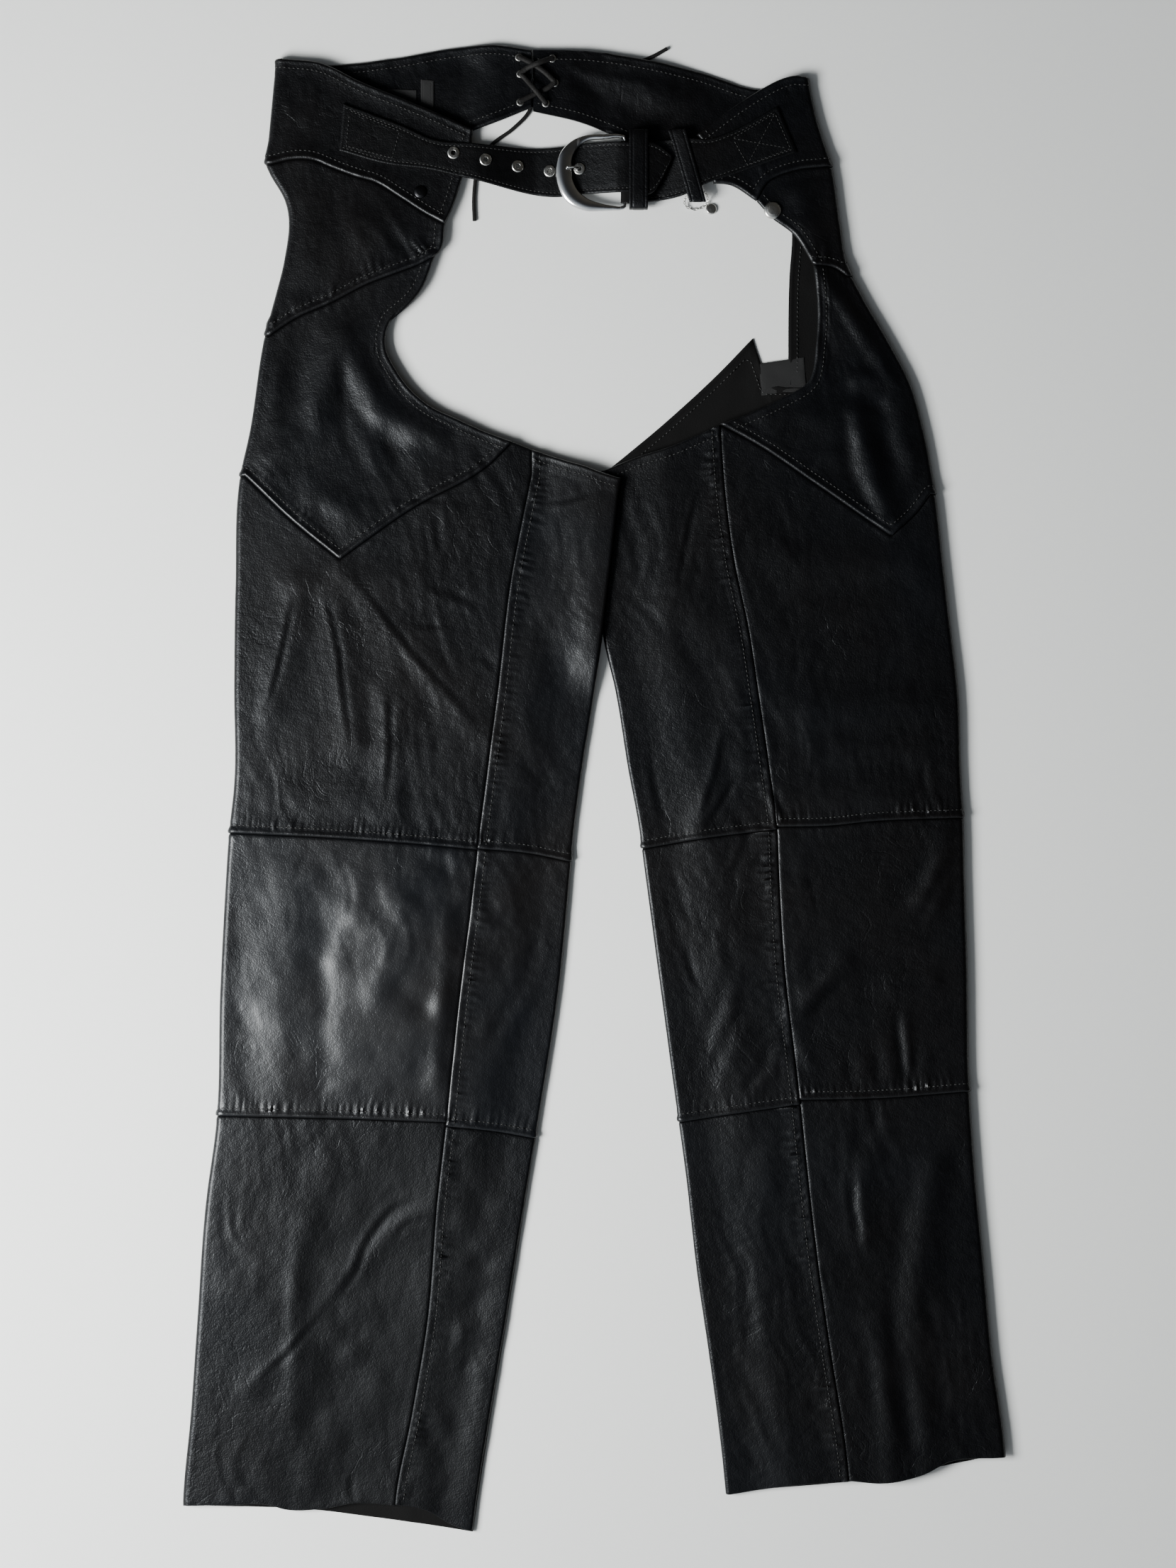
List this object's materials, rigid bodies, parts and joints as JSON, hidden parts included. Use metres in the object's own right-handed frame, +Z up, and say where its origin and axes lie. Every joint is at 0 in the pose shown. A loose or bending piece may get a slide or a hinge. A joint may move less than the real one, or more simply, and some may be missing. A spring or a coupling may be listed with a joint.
{
  "type": "leather chaps with belt",
  "caption": "Black leather motorcycle chaps laid flat with the front up: two flared legs, pointed thigh yokes, laced back waist and a buckled belt.",
  "frame": {"origin": "centre of the footprint, on the surface that the chaps lie on", "axes": "+Y towards the waist, +Z up from the surface, +X towards the wearer's left leg"},
  "size_m": [0.644, 1.164, 0.0152],
  "materials": {
    "black_leather": "semi-gloss grain side",
    "leather_flesh_side": "matt flesh side of the back panels",
    "leather_thong": "matt thong",
    "chrome_plate": "polished",
    "nickel_plate": "polished nickel",
    "black_oxide_snap": "black enamel",
    "woven_label": "woven, plain"
  },
  "bodies": {
    "root": {"belt_strap_left": "black_leather", "belt_strap_right": "black_leather", "buckle_frame": "chrome_plate", "buckle_tongue": "chrome_plate", "calf_back_left": "leather_flesh_side", "calf_back_right": "leather_flesh_side", "calf_inner_left": "black_leather", "calf_inner_right": "black_leather", "calf_outer_left": "black_leather", "calf_outer_right": "black_leather", "chain": "nickel_plate", "charm": "nickel_plate", "eyelet_1": "nickel_plate", "eyelet_2": "nickel_plate", "eyelet_3": "nickel_plate", "eyelet_4": "nickel_plate", "eyelet_5": "nickel_plate", "eyelet_6": "nickel_plate", "grommet_1": "nickel_plate", "grommet_2": "nickel_plate", "grommet_3": "nickel_plate", "grommet_4": "nickel_plate", "grommet_5": "nickel_plate", "hip_back_left": "leather_flesh_side", "hip_back_right": "leather_flesh_side", "hip_front_left": "black_leather", "hip_front_right": "black_leather", "keeper_buckle": "black_leather", "keeper_end": "black_leather", "knee_back_left": "leather_flesh_side", "knee_back_right": "leather_flesh_side", "knee_inner_left": "black_leather", "knee_inner_right": "black_leather", "knee_outer_left": "black_leather", "knee_outer_right": "black_leather", "label_care": "woven_label", "label_patch": "woven_label", "label_size": "woven_label", "lace_end_low": "leather_thong", "lace_end_top": "leather_thong", "lace_over": "leather_thong", "lace_under": "leather_thong", "point_front_left": "black_leather", "point_front_right": "black_leather", "snap_left": "nickel_plate", "snap_right": "black_oxide_snap", "thigh_back_left": "leather_flesh_side", "thigh_back_right": "leather_flesh_side", "thigh_inner_left": "black_leather", "thigh_inner_right": "black_leather", "thigh_outer_left": "black_leather", "thigh_outer_right": "black_leather", "waist_front_left": "black_leather", "waist_front_right": "black_leather", "yoke_back_left": "leather_flesh_side", "yoke_back_right": "leather_flesh_side"}
  },
  "joints": []
}
